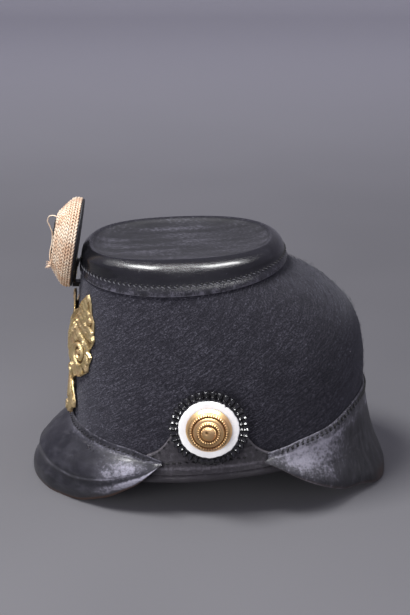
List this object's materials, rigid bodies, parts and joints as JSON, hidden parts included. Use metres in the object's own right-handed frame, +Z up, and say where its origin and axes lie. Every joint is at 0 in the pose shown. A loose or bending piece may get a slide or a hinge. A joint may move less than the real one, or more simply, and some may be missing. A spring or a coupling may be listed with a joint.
{
  "type": "shako hat",
  "caption": "Military shako with a cloth-covered felt body, sunk leather crown, drooping leather peak and neck guard, side cockades with brass bosses, wound cord badge and spread eagle plate.",
  "frame": {"origin": "middle of the bounding box, on the surface that the hat rests on", "axes": "-X is the front of the hat, +X the back, -Y the wearer's left side, +Z up; the hat leans forward as it rests on its peak and neck guard"},
  "size_m": [0.2561, 0.2002, 0.2027],
  "materials": {
    "wool_felt": "matt wool twill with a short nap",
    "crown_leather": "lacquered, half gloss, rubbed grey on top",
    "peak_leather": "waxed, worn grey towards the corners",
    "guard_leather": "dull, grainy, worn",
    "rim_leather": "dull, dusty",
    "black_enamel": "glossy black lacquer",
    "white_enamel": "hand painted white",
    "boss_brass": "satin gilt",
    "eagle_brass": "gilt, a little tarnished in the recesses",
    "badge_leather": "black",
    "silver_cord": "silver thread with copper coloured tarnish",
    "black_velvet": "velvet",
    "pin_iron": "black"
  },
  "bodies": {
    "root": {"body_shell": "wool_felt", "crown_cap": "crown_leather", "front_peak": "peak_leather", "neck_guard": "guard_leather", "rim_roll": "rim_leather", "side_gusset_left": "rim_leather", "side_gusset_right": "rim_leather", "cockade_left": "black_enamel", "cockade_right": "black_enamel", "cockade_ring_left": "white_enamel", "cockade_ring_right": "white_enamel", "chin_boss_left": "boss_brass", "chin_boss_right": "boss_brass", "eagle_plate": "eagle_brass", "badge_backing": "badge_leather", "badge_wound_cord": "silver_cord", "badge_centre": "black_velvet", "badge_pin": "pin_iron"}
  },
  "joints": []
}
